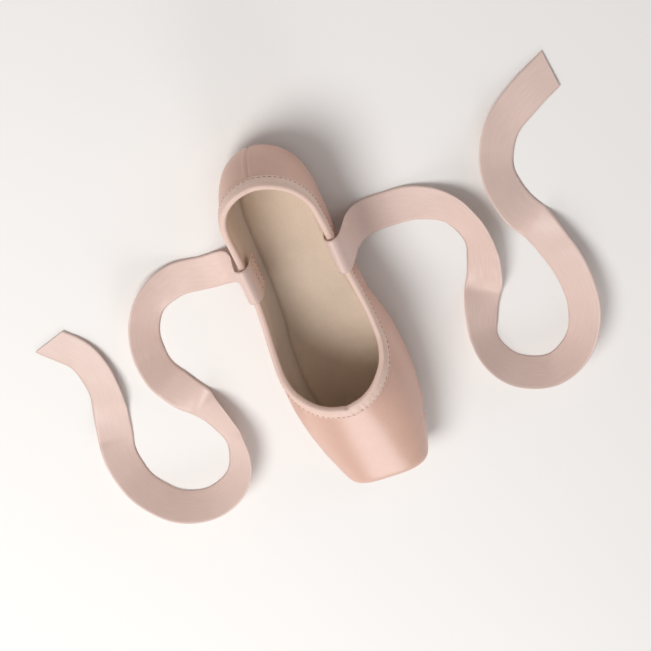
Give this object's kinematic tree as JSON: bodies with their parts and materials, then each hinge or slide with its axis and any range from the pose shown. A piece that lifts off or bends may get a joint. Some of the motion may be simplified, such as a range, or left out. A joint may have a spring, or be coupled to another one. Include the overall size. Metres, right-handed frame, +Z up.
{
  "type": "pointe shoe",
  "caption": "Satin pointe shoe standing empty on its leather sole, with a flat toe platform, U-shaped throat, bound collar and loose ankle ribbons.",
  "frame": {"origin": "on the floor, under the middle of the shoe's box, the ribbons left out", "axes": "-Y towards the toe platform, +Y towards the heel, +X to one side, +Z up"},
  "size_m": [0.3478, 0.228, 0.0602],
  "materials": {
    "satin": "peach pink satin, soft sheen",
    "sole_leather": "pale tan split leather, embossed under the forefoot",
    "lining_cloth": "plain cotton lining",
    "binding_satin": "pale satin tape with a row of stitches",
    "ribbon_satin": "pale pink satin ribbon"
  },
  "bodies": {
    "root": {"upper": "satin", "outsole": "sole_leather", "insole": "lining_cloth", "collar_binding": "binding_satin", "ribbon_right": "ribbon_satin", "ribbon_left": "ribbon_satin"}
  },
  "joints": []
}
